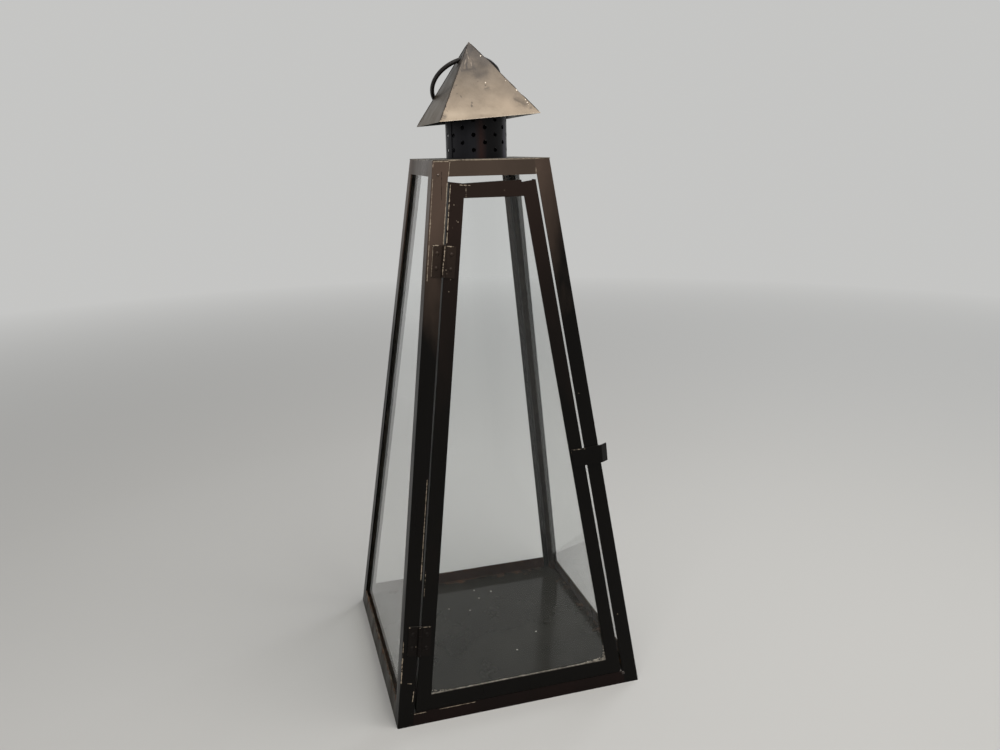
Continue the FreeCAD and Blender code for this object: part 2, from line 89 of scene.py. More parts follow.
# %% The node helper
class Graph:
    def __init__(self, tree):
        self.tree = tree

    def put(self, socket, value):
        if isinstance(value, bpy.types.NodeSocket):
            self.tree.links.new(value, socket)
        else:
            socket.default_value = value

    def node(self, kind, inputs=None, **settings):
        made = self.tree.nodes.new("ShaderNode" + kind)
        for name, value in settings.items():
            setattr(made, name, value)
        for key, value in (inputs or {}).items():
            self.put(made.inputs[key], value)
        return made

    def math(self, operation, a, b=0.0):
        return self.node("Math", {0: a, 1: b}, operation=operation).outputs[0]

    def spread(self, value, low, high, to_low=0.0, to_high=1.0):
        """Maps low..high to to_low..to_high, and holds the ends."""
        steps = {"Value": value, "From Min": low, "From Max": high,
                 "To Min": to_low, "To Max": to_high}
        return self.node("MapRange", steps).outputs["Result"]

    def mix(self, factor, a, b):
        made = self.node("Mix", data_type="RGBA")
        for index, value in ((0, factor), (6, a), (7, b)):
            self.put(made.inputs[index], value)
        return made.outputs[2]

    def noise(self, scale, detail=3.0, stretch=(1, 1, 1), roughness=0.5):
        where = self.node("TexCoord").outputs["Object"]
        if stretch != (1, 1, 1):
            where = self.node("Mapping", {"Vector": where, "Scale": stretch}).outputs[0]
        steps = {"Vector": where, "Scale": scale, "Detail": detail, "Roughness": roughness}
        return self.node("TexNoise", steps).outputs["Fac"]

    def spot(self):
        """Where the shaded point lies on the lantern: X, Y and Z."""
        return self.node("SeparateXYZ", {0: self.node("TexCoord").outputs["Object"]}).outputs

    def facing(self):
        """Where the surface points: X, Y and Z."""
        return self.node("SeparateXYZ", {0: self.node("NewGeometry").outputs["Normal"]}).outputs

    def times(self, a, b):
        return self.math("MULTIPLY", a, b)

    def layers(self, color, coats):
        """Lays coats over a colour in turn, each given as mask, strength and tone."""
        for mask, strength, tone in coats:
            color = self.mix(self.times(mask, strength), color, tone)
        return color

    def bump(self, height, strength, depth):
        steps = {"Height": height, "Strength": strength, "Distance": depth}
        return self.node("Bump", steps).outputs[0]

    def use(self, group, **values):
        made = self.node("Group", node_tree=group)
        for name, value in values.items():
            self.put(made.inputs[name], value)
        return made.outputs


# %% [markdown]
# Trees come in three kinds here.  A material or a world starts from an emptied tree, most
# materials have one Principled shader, and an effect that several of them share is a group
# with named sockets.

# %% Empty trees, materials and groups
def emptied(owner):
    """Clears the node tree of a material or a world, and wraps it."""
    owner.use_nodes = True
    owner.node_tree.nodes.clear()
    return Graph(owner.node_tree)


def new_material(name):
    """A material with one Principled shader: the material, its graph, the shader's inputs."""
    material = bpy.data.materials.new(name)
    g = emptied(material)
    shader = g.node("BsdfPrincipled")
    g.node("OutputMaterial", {"Surface": shader.outputs[0]})
    print("finish", name)
    return material, g, shader.inputs


def new_group(name, inputs, outputs):
    """An empty node group with named sockets: the group, its graph, what it is given and makes."""
    print("effect", name, "from", [label for label, kind, value in inputs])
    group = bpy.data.node_groups.new(name, "ShaderNodeTree")
    for label, kind, value in inputs:
        socket = group.interface.new_socket(label, in_out="INPUT", socket_type="NodeSocket" + kind)
        socket.default_value = value
    for label, kind in outputs:
        group.interface.new_socket(label, in_out="OUTPUT", socket_type="NodeSocket" + kind)
    given = group.nodes.new("NodeGroupInput").outputs
    made = group.nodes.new("NodeGroupOutput").inputs
    return group, Graph(group), given, made


# %% [markdown]
# ## Wear, dust, rust and specks, each built once
# Four effects turn up in almost every finish of an old lantern, so each is a node group:
#
# - `rubbed_edges` finds folds and rims by comparing the surface normal with one that a
#   Bevel node has rounded, and breaks the result up with noise, because paint wears off in
#   stretches and not in a neat line;
# - `settled_dust` lies where a surface faces upwards;
# - `rust_bloom` spreads from one level, such as the foot of the frame, where water stood;
# - `specks` are a few of the cells of a Voronoi pattern, shrunk to dots.

# %% Edge wear
rubbed_edges, g, given, made = new_group(
    "rubbed_edges",
    [("Radius", "Float", 0.8 * MM), ("Grain", "Float", 60.0), ("Loss", "Float", 0.5)],
    [("Mask", "Float")],
)
rounded = g.node("Bevel", {"Radius": given["Radius"]}, samples=8).outputs["Normal"]
straight = g.node("NewGeometry").outputs["Normal"]
agree = g.node("VectorMath", {0: rounded, 1: straight}, operation="DOT_PRODUCT").outputs["Value"]
edge = g.spread(agree, 0.985, 0.80)
patchy = g.spread(g.noise(given["Grain"], 5.0), g.math("SUBTRACT", 1.0, given["Loss"]),
                  g.math("SUBTRACT", 1.12, given["Loss"]))
g.put(made["Mask"], g.times(edge, patchy))

# %% Dust
settled_dust, g, given, made = new_group(
    "settled_dust",
    [("Amount", "Float", 0.5), ("Grain", "Float", 40.0)],
    [("Mask", "Float")],
)
upward = g.spread(g.facing()["Z"], 0.25, 0.95)
clumps = g.spread(g.noise(given["Grain"], 6.0, roughness=0.65), 0.32, 0.62, 0.35, 1.0)
g.put(made["Mask"], g.times(g.times(upward, clumps), given["Amount"]))

# %% Rust
RUST_DARK = (0.060, 0.026, 0.014, 1)
RUST_PALE = (0.15, 0.070, 0.036, 1)

rust_bloom, g, given, made = new_group(
    "rust_bloom",
    [("Level", "Float", 0.0), ("Reach", "Float", 0.03), ("Amount", "Float", 0.5),
     ("Grain", "Float", 90.0)],
    [("Mask", "Float"), ("Color", "Color")],
)
from_level = g.math("ABSOLUTE", g.math("SUBTRACT", g.spot()["Z"], given["Level"]))
away = g.math("DIVIDE", from_level, given["Reach"])
near = g.times(g.math("SUBTRACT", 1.0, g.spread(away, 0.0, 1.0)), given["Amount"])
pitting = g.noise(given["Grain"], 8.0, roughness=0.68)
g.put(made["Mask"], g.spread(g.math("ADD", pitting, near), 0.86, 1.06))
g.put(made["Color"], g.mix(g.spread(g.noise(260.0, 4.0), 0.4, 0.62), RUST_DARK, RUST_PALE))

# %% Specks
specks, g, given, made = new_group(
    "specks",
    [("Scale", "Float", 120.0), ("Size", "Float", 0.12), ("Share", "Float", 0.1)],
    [("Mask", "Float")],
)
cells = g.node("TexVoronoi", {"Vector": g.node("TexCoord").outputs["Object"], "Scale": given["Scale"]})
chance = g.node("SeparateColor", {0: cells.outputs["Color"]}).outputs[0]
chosen = g.math("LESS_THAN", chance, given["Share"])
frayed = g.times(given["Size"], g.spread(g.noise(900.0, 3.0), 0.35, 0.65, 0.3, 1.5))
dot = g.math("LESS_THAN", cells.outputs["Distance"], frayed)
g.put(made["Mask"], g.times(chosen, dot))

# %% [markdown]
# Some marks are not chance: a chip beside a hinge, a run of paint, a bright line painted
# where a fold or rim catches the light.  `stroke` is a mask along the line between two points.
# The nearest point of the line is found with a dot product, held between the ends, and the
# distance to it is made ragged with noise.  The core is the share of the width that is full:
# a scratch has a firm core, and a stain has none.  A dot is a stroke whose two ends are the same.

# %% A stroke between two points
stroke, g, given, made = new_group(
    "stroke",
    [("From", "Vector", (0, 0, 0)), ("To", "Vector", (0, 0, 1)), ("Width", "Float", 0.8 * MM),
     ("Core", "Float", 0.6), ("Grain", "Float", 380.0)],
    [("Mask", "Float")],
)
here = g.node("TexCoord").outputs["Object"]
run = g.node("VectorMath", {0: given["To"], 1: given["From"]}, operation="SUBTRACT").outputs[0]
off = g.node("VectorMath", {0: here, 1: given["From"]}, operation="SUBTRACT").outputs[0]
along = g.node("VectorMath", {0: off, 1: run}, operation="DOT_PRODUCT").outputs["Value"]
whole = g.node("VectorMath", {0: run, 1: run}, operation="DOT_PRODUCT").outputs["Value"]
share = g.spread(g.math("DIVIDE", along, g.math("MAXIMUM", whole, 1e-9)), 0.0, 1.0)
foot = g.node("VectorMath", {0: run, "Scale": share}, operation="SCALE").outputs[0]
gap = g.node("VectorMath", {0: off, 1: foot}, operation="DISTANCE").outputs["Value"]
fray = g.spread(g.noise(given["Grain"], 4.0), 0.35, 0.65, 0.25, 1.35)
ragged = g.math("DIVIDE", gap, g.times(given["Width"], fray))
g.put(made["Mask"], g.spread(ragged, 1.0, given["Core"]))


def strokes(g, lines, core=0.6, grain=380.0):
    """One mask for several lines, each given as from, to and half width."""
    total = 0.0
    for start, end, width in lines:
        mask = g.use(stroke, From=start, To=end, Width=width, Core=core, Grain=grain)["Mask"]
        total = g.math("MAXIMUM", total, mask)
    return total


def dots(points, size):
    return [(point, point, size) for point in points]


print("shared effects:", [group.name for group in bpy.data.node_groups])

# %% [markdown]
# ## Bronze paint on folded steel
# The frame is one dark bronze paint, but hand-painted: nearly black where it is thick.
# Painted light turns it brown near the top and on the left, and painted shade darkens it at
# the foot and on the right.  A little metallic pigment gives it a sheen under a lamp, and the
# orange-peel texture of a brushed coat is a very low bump.  The recipe is a function, because
# rails, posts, hinges and catch wear differently: chipped spots are strokes down to the metal,
# given together with thin painted highlights where an edge catches the light, and `runs` are
# thick drips.

# %% Tones that every coat shares
NEAR_BLACK = (0.0040, 0.0034, 0.0028, 1)
WORN = (0.46, 0.38, 0.29, 1)
FLY_SPECK = (0.33, 0.27, 0.21, 1)
DUST = (0.24, 0.225, 0.195, 1)
RUSTY_INNER = (0.042, 0.013, 0.007, 1)
# Painted shade below the first height, painted light from the second to the third, and in X, painted
# light on the left giving way to painted shade on the right.
SHADE_BELOW, LIGHT_FROM, LIGHT_TO = 0.30, 0.47, 0.60
LIT_SIDE, SHADED_SIDE = 0.02, 0.08


def painted_light_and_shade(g):
    """Painted light and shade that shift the paint's balance: up near the top and on the left, down at
    the foot and on the right.
    """
    spot = g.spot()
    above = g.spread(spot["Z"], LIGHT_FROM, LIGHT_TO, 0.0, 0.24)
    below = g.spread(spot["Z"], SHADE_BELOW, LIGHT_FROM, -0.26, -0.07)
    lit_side = g.spread(spot["X"], LIT_SIDE, SHADED_SIDE, 1.0, 0.25)
    shaded = g.spread(spot["X"], LIT_SIDE, SHADED_SIDE, 0.0, -0.03)
    return g.math("ADD", g.math("ADD", g.times(above, lit_side), below), shaded)


def turned_inwards(g):
    """A mask of the faces that look towards the lantern's axis."""
    outward = {0: g.node("NewGeometry").outputs["Normal"], 1: g.node("TexCoord").outputs["Object"]}
    reach = g.node("VectorMath", outward, operation="DOT_PRODUCT").outputs["Value"]
    return g.spread(reach, 0.0, -0.06)


# These heights bound the painted shade at the foot and the painted light near the top.
print("paint is dark below", SHADE_BELOW, "m and bleached from", LIGHT_FROM, "to", LIGHT_TO, "m")

# %% The paint recipe
def painted_steel(name, thick, thin, balance=0.5, wear=0.45, edge=0.9 * MM, dust=0.25,
                  rust=0.3, level=0.0, reach=0.05, speck=0.02, gloss=0.34, pigment=0.2,
                  wear_and_highlights=(), runs=(), rusty_inside=0.0, mirror=0.12):
    material, g, shader = new_material(name)
    brushwork = g.spread(g.noise(9.0, 5.0, (1, 1, 0.35), 0.6), 0.3, 0.7, 0.38, 0.62)
    # Random brushwork, shifted by the painted light and shade.
    patches = g.math("ADD", brushwork, painted_light_and_shade(g))
    color = g.mix(g.spread(patches, balance - 0.15, balance + 0.15), thick, thin)
    if runs:
        color = g.layers(color, [(strokes(g, runs), 0.6, NEAR_BLACK)])
    if rusty_inside:
        color = g.layers(color, [(turned_inwards(g), rusty_inside, RUSTY_INNER)])
    rusty = g.use(rust_bloom, Level=level, Reach=reach, Amount=rust)
    # Worn edges, with chipped spots and painted highlights laid on along the given lines.
    worn_and_highlighted = g.use(rubbed_edges, Radius=edge, Loss=wear)["Mask"]
    if wear_and_highlights:
        worn_and_highlighted = g.math("MAXIMUM", worn_and_highlighted, strokes(g, wear_and_highlights))
    dusty = g.use(settled_dust, Amount=dust)["Mask"]
    color = g.layers(color, [
        (rusty["Mask"], 1.0, rusty["Color"]),
        (worn_and_highlighted, 1.0, WORN),
        (g.use(specks, Scale=170.0, Size=0.07, Share=speck)["Mask"], 1.0, FLY_SPECK),
        (dusty, 1.0, DUST),
    ])
    g.put(shader["Base Color"], color)
    brushed = g.spread(g.noise(34.0, 5.0, (1, 1, 0.2)), 0.35, 0.65, gloss - 0.07, gloss + 0.12)
    dull = g.math("MAXIMUM", rusty["Mask"], dusty)
    g.put(shader["Roughness"], g.math("ADD", brushed, g.times(dull, 0.4)))
    shiny = g.math("SUBTRACT", g.spread(worn_and_highlighted, 0.0, 1.0, pigment, 0.85), dull)
    g.put(shader["Metallic"], g.spread(shiny, 0.0, 1.0))
    orange_peel = g.math("ADD", g.noise(420.0, 2.0), g.times(g.noise(26.0, 2.0), 5.0))
    pitted = g.math("ADD", orange_peel, g.times(rusty["Mask"], 1.5))
    g.put(shader["Normal"], g.bump(pitted, 0.45, 0.12 * MM))
    g.put(shader["Specular IOR Level"], mirror)
    return material


# %% [markdown]
# ## Which piece wears which coat
# The upper part of the frame is browner as painted light, and the top rail is a lighter copy
# of the bronze that stands for the light on it; the door is nearly black, and the base rails
# have stood in the wet.  Each measured node keeps its shape and only receives its material.
# Chipped spots are placed on the faces where hands, keys and the closing door have worn the
# paint; thin bright lines along lit folds and edges, and dots on rivet heads, are painted
# highlights.

# %% Where the paint is chipped, and where edges carry painted highlights
def from_left(inset, z):
    """A point of the front face at a distance from the leaning left edge, in metres."""
    return front_point(inset - half_width(z), z)


# Insets from the leaning left edge: the post's fold, its inner edge and the stile's outer edge.
FOLD = 0.6 * MM
POST_EDGE = 17.6 * MM
STILE_EDGE = 21.2 * MM
# Heights in front of the frame's face for marks on a leaf or the catch strip, and on a knuckle.
LEAF_FACE = 1.0 * MM
KNUCKLE_FACE = 4.4 * MM
# Half widths of the marks.
HAIR = 0.35 * MM
SCRATCH = 0.5 * MM
CHIP = 0.9 * MM

post_top = plate_low.z - 0.4 * MM
# Along the post's left fold and its inner edge beside the door gap these lines are painted highlights
# where the edges catch the light; the other marks are chipped paint.
post_wear_and_glints = [
    (from_left(FOLD, post_top), from_left(17.0 * MM, post_top), 0.6 * MM),
    (from_left(FOLD, post_top), from_left(FOLD, 0.616), SCRATCH),
    (from_left(1.4 * MM, 0.606), from_left(2.0 * MM, 0.500), HAIR),
    (from_left(1.7 * MM, 0.561), from_left(1.7 * MM, 0.552), 0.7 * MM),
    (from_left(POST_EDGE, 0.602), from_left(POST_EDGE, 0.538), 0.6 * MM),
    (from_left(16.2 * MM, 0.283), from_left(16.2 * MM, 0.170), HAIR),
    (from_left(16.2 * MM, 0.192), from_left(16.2 * MM, 0.174), SCRATCH),
    (from_left(FOLD, 0.102), from_left(FOLD, 0.086), SCRATCH),
    (from_left(FOLD, 0.088), from_left(FOLD, 0.054), CHIP),
    (front_point(-0.1347, 0.0517), front_point(-0.1301, 0.0507), HAIR),
    (front_point(-0.1285, 0.0404), front_point(-0.1305, 0.0295), 0.6 * MM),
] + dots([front_point(0.1259, 0.0889)], CHIP) + dots([front_point(0.1286, 0.0142)], 0.7 * MM)
post_runs = [(front_point(-0.0572, 0.6136), front_point(-0.0592, 0.5845), SCRATCH)]
rail_chips = [
    (front_point(-0.0475, 0.6232), front_point(-0.0498, 0.6093), SCRATCH),
    (front_point(0.0498, 0.6214), front_point(0.0492, 0.6086), HAIR),
]
# A painted highlight along the plate's lit front edge.
plate_edge_highlight = [(front_point(-0.0490, 0.6256), front_point(0.0546, 0.6250), 0.6 * MM)]
# Painted highlights along the sill's top edge.
sill_edge_highlights = [
    (front_point(-0.1293, 0.0137), front_point(-0.1162, 0.0138), HAIR),
    (front_point(-0.0995, 0.0139), front_point(-0.0578, 0.0139), HAIR),
]
# The lines along the stile's outer edge are painted highlights beside the door gap; the other lines and
# the dots are chipped paint.
door_wear_and_highlights = [
    (from_left(STILE_EDGE, 0.600), from_left(STILE_EDGE, 0.539), SCRATCH),
    (from_left(STILE_EDGE, 0.180), from_left(STILE_EDGE, 0.150), HAIR),
    (front_point(-0.0379, 0.5995), front_point(-0.0268, 0.5986), SCRATCH),
    (front_point(-0.0313, 0.5982), front_point(-0.0320, 0.5867), 0.45 * MM),
] + dots([front_point(x, z) for x, z in (
    (-0.0445, 0.5819), (-0.0425, 0.5787), (-0.0459, 0.5788), (-0.0441, 0.5619), (-0.0426, 0.5608),
    (-0.0490, 0.5547), (-0.0550, 0.5000), (-0.0575, 0.4870))], 0.7 * MM)
# Painted highlights on the hinges: the lit top edges of leaves and knuckles, lines down lit edges and
# knuckles, and glints on the rivet heads.
hinge_highlights = [
    (front_point(-0.0724, 0.5372, LEAF_FACE), front_point(-0.0640, 0.5377, LEAF_FACE), CHIP),
    (front_point(-0.0640, 0.5377, LEAF_FACE), front_point(-0.0601, 0.5378, KNUCKLE_FACE), CHIP),
    (front_point(-0.0567, 0.5356, LEAF_FACE), front_point(-0.0468, 0.5354, LEAF_FACE), CHIP),
    (front_point(-0.0722, 0.5359, LEAF_FACE), front_point(-0.0763, 0.5049, LEAF_FACE), HAIR),
    (front_point(-0.0595, 0.5363, KNUCKLE_FACE), front_point(-0.0618, 0.5211, KNUCKLE_FACE), SCRATCH),
    (front_point(-0.0626, 0.5190, KNUCKLE_FACE), front_point(-0.0648, 0.5044, KNUCKLE_FACE), SCRATCH),
    (front_point(-0.1279, 0.1174, LEAF_FACE), front_point(-0.1166, 0.1165, KNUCKLE_FACE), 0.6 * MM),
    (front_point(-0.1127, 0.1154, LEAF_FACE), front_point(-0.1046, 0.1146, LEAF_FACE), 0.6 * MM),
] + dots([front_point(x, z, LEAF_FACE) for x, z in (
    (-0.0688, 0.5260), (-0.0595, 0.5107), (-0.0588, 0.5065), (-0.1222, 0.0939))], 0.7 * MM)
# Painted highlights along the catch strip's top edge, and a short mark down its left end.
catch_wear_and_highlight = [
    (front_point(0.0751, 0.2966, LEAF_FACE), front_point(0.0920, 0.2966, LEAF_FACE), 0.7 * MM),
    (front_point(0.0920, 0.2968, LEAF_FACE), front_point(0.1060, 0.2968, LEAF_FACE), HAIR),
    (front_point(0.0753, 0.2966, LEAF_FACE), front_point(0.0757, 0.2920, LEAF_FACE), SCRATCH),
]
print(len(post_wear_and_glints), "post,", len(door_wear_and_highlights), "door and", len(hinge_highlights), "hinge chips")

# %% Paint the metal
BROWN = (0.105, 0.072, 0.055, 1)
CHOCOLATE = (0.023, 0.014, 0.011, 1)
REDDISH = (0.012, 0.0055, 0.0045, 1)
OLIVE = (0.030, 0.025, 0.016, 1)

post_paint = painted_steel("post_bronze", NEAR_BLACK, BROWN, rust=0.24, wear=0.27, wear_and_highlights=post_wear_and_glints,
                           runs=post_runs)
# The top rail: a lighter copy of the bronze, as painted light.
lit_rail_paint = painted_steel("top_rail_bronze_lit", (0.052, 0.038, 0.029, 1), (0.090, 0.064, 0.049, 1),
                           balance=0.62, wear=0.42, rust=0.0, wear_and_highlights=rail_chips)
plate_paint = painted_steel("top_plate_bronze", (0.026, 0.019, 0.015, 1), (0.052, 0.039, 0.030, 1),
                            balance=0.62, dust=0.55, rust=0.22, level=plate_top, reach=0.02, wear=0.6,
                            wear_and_highlights=plate_edge_highlight)
base_paint = painted_steel("base_rail_rusty", NEAR_BLACK, OLIVE, balance=0.16, rust=0.40, level=0.024,
                           reach=0.03, dust=0.2, rusty_inside=0.9, mirror=0.06)
sill_paint = painted_steel("sill_bronze", NEAR_BLACK, REDDISH, balance=0.16, rust=0.16, reach=0.02,
                           dust=0.12, wear=0.18, wear_and_highlights=sill_edge_highlights)
door_paint = painted_steel("door_bronze", NEAR_BLACK, CHOCOLATE, balance=0.43, wear=0.34, rust=0.12,
                           wear_and_highlights=door_wear_and_highlights)
hinge_paint = painted_steel("hinge_bronze", (0.007, 0.005, 0.004, 1), (0.036, 0.024, 0.018, 1),
                            balance=0.44, wear=0.30, edge=0.5 * MM, rust=0.0, speck=0.05, gloss=0.42,
                            wear_and_highlights=hinge_highlights)
rivet_paint = painted_steel("rivet_bronze", (0.008, 0.006, 0.005, 1), (0.040, 0.027, 0.020, 1),
                            balance=0.44, wear=0.0, rust=0.0, dust=0.0, speck=0.0, gloss=0.36)
catch_paint = painted_steel("catch_bronze", NEAR_BLACK, (0.008, 0.006, 0.005, 1), wear=0.40,
                            edge=0.6 * MM, rust=0.0, dust=0.1, wear_and_highlights=catch_wear_and_highlight)
ring_paint = painted_steel("ring_black", (0.006, 0.006, 0.006, 1), (0.014, 0.011, 0.010, 1), wear=0.2,
                           edge=0.4 * MM, rust=0.0, dust=0.12, gloss=0.30, pigment=0.1, mirror=0.4)


def paint(material, *prefixes):
    """Puts a material on every measured node whose name starts with one of the prefixes."""
    count = 0
    for name, node in nodes.items():
        if name.startswith(prefixes):
            node.data.materials.clear()
            node.data.materials.append(material)
            count += 1
    return count


painted = paint(post_paint, "corner_post")
painted += paint(lit_rail_paint, "top_rail")
painted += paint(plate_paint, "top_plate")
painted += paint(base_paint, "base_rail")
painted += paint(sill_paint, "door_sill")
painted += paint(door_paint, "door_stile", "door_rail")
painted += paint(hinge_paint, "upper_hinge", "lower_hinge")
painted += paint(rivet_paint, "hinge_rivets")
painted += paint(catch_paint, "catch_strip")
painted += paint(ring_paint, "carry_ring")
print("painted", painted, "nodes")

# %% [markdown]
# ## The floor pan
# The candle floor is a smooth dark olive grey with paler crumbs and rust creeping in from
# the rails.  Its coat is glossy enough to mirror the back rail, so the roughness is low and
# there is almost no bump.

# %% Floor finish
FLOOR_DARK = (0.015, 0.0145, 0.0115, 1)
FLOOR_PALE = (0.022, 0.0215, 0.017, 1)
FLOOR_RUST = (0.105, 0.052, 0.028, 1)
CRUMB = (0.55, 0.52, 0.46, 1)
CRUMB_RADIUS = 1.6 * MM
CRUMBS = [(0.0320, 0.1002), (0.0101, 0.0866), (0.0090, 0.1109), (-0.0381, 0.0709), (-0.0105, 0.0590),
          (0.0607, -0.0204), (0.0234, -0.0536)]
RUSTY_BORDER = 30 * MM
floor_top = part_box("floor_pan")[1].z

floor_finish, g, shader = new_material("floor_olive_gloss")
spot = g.spot()
off_middle = g.math("MAXIMUM", g.math("ABSOLUTE", spot["X"]), g.math("ABSOLUTE", spot["Y"]))
to_wall = g.spread(off_middle, base_half - RUSTY_BORDER, base_half)
creeping = g.math("ADD", g.noise(70.0, 7.0, roughness=0.66), g.times(to_wall, 0.42))
crumbs = strokes(g, dots([(x, y, floor_top) for x, y in CRUMBS], CRUMB_RADIUS))
ground = g.mix(g.spread(g.noise(14.0, 6.0, roughness=0.6), 0.36, 0.64), FLOOR_DARK, FLOOR_PALE)
ground = g.layers(ground, [(g.spread(creeping, 0.80, 1.0), 1.0, FLOOR_RUST), (crumbs, 1.0, CRUMB)])
g.put(shader["Base Color"], ground)
filmed = g.spread(g.noise(16.0, 5.0), 0.35, 0.65, 0.12, 0.18)
g.put(shader["Roughness"], g.math("MAXIMUM", filmed, g.times(crumbs, 0.8)))
g.put(shader["Specular IOR Level"], 0.22)
g.put(shader["Normal"], g.bump(crumbs, 0.3, 0.3 * MM))
paint(floor_finish, "floor_pan")
print(len(CRUMBS), "crumbs at height", round(floor_top, 4))

# %% [markdown]
# ## Glass
# The panes are ordinary float glass, slightly green along a long path.  Grime doesn't
# colour it so much as blur it, so a noise pattern that grows towards the foot of each pane
# raises the roughness.  The index of refraction is set under that of window glass, because
# thin old panes in a pale studio would otherwise veil the dark inside.  Lamps have to shine
# through, so for shadow, diffuse and mirrored rays the shader gives way to a Transparent
# one.  A ray inside the glass counts as glossy too, so the transmission rays are taken off:
# both faces of a pane have to bend it.

# %% Glass finish
GLASS_GREEN = (0.955, 0.965, 0.965, 1)
SEEN_THROUGH = (0.93, 0.935, 0.93, 1)

glass_finish = bpy.data.materials.new("float_glass")
g = emptied(glass_finish)
pane = g.node("BsdfPrincipled", {"Base Color": GLASS_GREEN, "IOR": 1.3, "Transmission Weight": 1.0})
low_down = g.spread(g.spot()["Z"], 50 * MM, 10 * MM, 0.0, 0.24)
smears = g.math("ADD", g.noise(11.0, 6.0, (1, 1, 0.4), 0.7), low_down)
g.put(pane.inputs["Roughness"], g.spread(smears, 0.76, 1.0, 0.0, 0.07))
g.put(pane.inputs["Normal"], g.bump(g.noise(5.0, 1.0), 0.25, 1.5 * MM))
rays = g.node("LightPath").outputs
mirrored = g.math("SUBTRACT", rays["Is Glossy Ray"], rays["Is Transmission Ray"])
bounced = g.math("MAXIMUM", rays["Is Diffuse Ray"], mirrored)
passing = g.math("MAXIMUM", rays["Is Shadow Ray"], bounced)
through = g.node("BsdfTransparent", {"Color": SEEN_THROUGH})
both = g.node("MixShader", {0: passing, 1: pane.outputs[0], 2: through.outputs[0]})
g.node("OutputMaterial", {"Surface": both.outputs[0]})
print("glazed", paint(glass_finish, "glass_", "door_glass"), "panes")

# %% [markdown]
# ## Glazing compound
# The panes sit in beads of silicone.  On the door it has gone cloudy and caught dust; in
# the four corners, where no cloth reaches, it is brown with grime, and its dark tones are
# painted shade falling between post and pane, so it is nearly black.  One recipe serves both,
# with its own pair of tones.

# %% Compound finishes
def compound(name, dark, pale):
    material, g, shader = new_material(name)
    cloud = g.spread(g.noise(45.0, 6.0, roughness=0.65), 0.36, 0.64)
    stained = g.use(rust_bloom, Level=0.0, Reach=0.05, Amount=0.55)
    g.put(shader["Base Color"], g.mix(stained["Mask"], g.mix(cloud, dark, pale), stained["Color"]))
    g.put(shader["Roughness"], 0.55)
    g.put(shader["Specular IOR Level"], 0.2)
    g.put(shader["Normal"], g.bump(g.noise(240.0, 3.0), 0.5, 0.3 * MM))
    return material


cloudy = compound("cloudy_compound", (0.070, 0.066, 0.058, 1), (0.21, 0.20, 0.175, 1))
# Brown grime, darkened nearly to black as painted shade between post and pane.
grimy_and_shaded = compound("grimy_and_shaded_compound", (0.010, 0.008, 0.006, 1), (0.034, 0.028, 0.019, 1))
print("beads:", paint(cloudy, "door_glazing_bead"), "cloudy,", paint(grimy_and_shaded, "glazing_bead"), "grimy_and_shaded")

# %% [markdown]
# ## The chimney
# Rolled sheet that candle heat has turned blue-black.  Water that ran down one side left a
# reddish streak, so a mask is made from the angle round the tube: the streak follows the
# metal, whatever side it is seen from.  The same angle carries painted shade, which darkens
# the right half nearly to black, and a painted violet highlight down the right side.  The top
# of the tube is painted dark as the shade under the cap.

# %% Chimney finish
BLUED_DARK = (0.012, 0.0125, 0.016, 1)
BLUED_PALE = (0.024, 0.0235, 0.028, 1)
# Angles round the tube from the front: the reddish streak, the painted violet highlight, and the span
# over which the painted shade of the right half sets in.
STREAK_ANGLE, VIOLET_HIGHLIGHT_ANGLE = math.radians(-6), math.radians(50)
SHADED_FROM, SHADED_TO = math.radians(-12), math.radians(8)

chimney_finish, g, shader = new_material("heat_blued_steel")
spot = g.spot()
angle = g.math("ARCTAN2", spot["X"], g.times(spot["Y"], -1.0))
wander = g.times(g.math("SUBTRACT", g.noise(60.0, 4.0, (1, 1, 0.3)), 0.5), 0.35)
off_streak = g.math("ABSOLUTE", g.math("ADD", g.math("SUBTRACT", angle, STREAK_ANGLE), wander))
off_highlight = g.math("ABSOLUTE", g.math("SUBTRACT", angle, VIOLET_HIGHLIGHT_ANGLE))
foot = g.use(rust_bloom, Level=plate_top, Reach=0.008, Amount=0.28)
blued = g.mix(g.spread(g.noise(30.0, 5.0, (1, 1, 0.15)), 0.38, 0.62), BLUED_DARK, BLUED_PALE)
g.put(shader["Base Color"], g.layers(blued, [
    # Painted shade: the right half darkened nearly to black.
    (g.spread(angle, SHADED_FROM, SHADED_TO), 1.0, (0.006, 0.0055, 0.006, 1)),
    # A painted violet highlight down the right side.
    (g.spread(off_highlight, 0.16, 0.05), 0.8, (0.045, 0.040, 0.060, 1)),
    (g.spread(off_streak, 0.20, 0.02), 0.75, (0.050, 0.022, 0.017, 1)),
    # Painted shade under the cap, darkening the top of the tube.
    (g.spread(spot["Z"], plate_top + 24 * MM, plate_top + 46 * MM), 0.85, (0.003, 0.003, 0.003, 1)),
    (foot["Mask"], 1.0, foot["Color"]),
    (g.use(rubbed_edges, Radius=0.4 * MM, Loss=0.35)["Mask"], 1.0, (0.22, 0.19, 0.16, 1)),
]))
g.put(shader["Metallic"], 0.45)
g.put(shader["Specular IOR Level"], 0.25)
g.put(shader["Roughness"], g.spread(g.noise(50.0, 4.0, (1, 1, 0.1)), 0.35, 0.65, 0.32, 0.52))
g.put(shader["Normal"], g.bump(g.noise(160.0, 3.0, (1, 1, 0.08)), 0.3, 0.2 * MM))
paint(chimney_finish, "chimney_tube")

# %% Braze under the cap
BRAZE_DARK = (0.10, 0.065, 0.03, 1)
BRAZE_PALE = (0.26, 0.19, 0.10, 1)

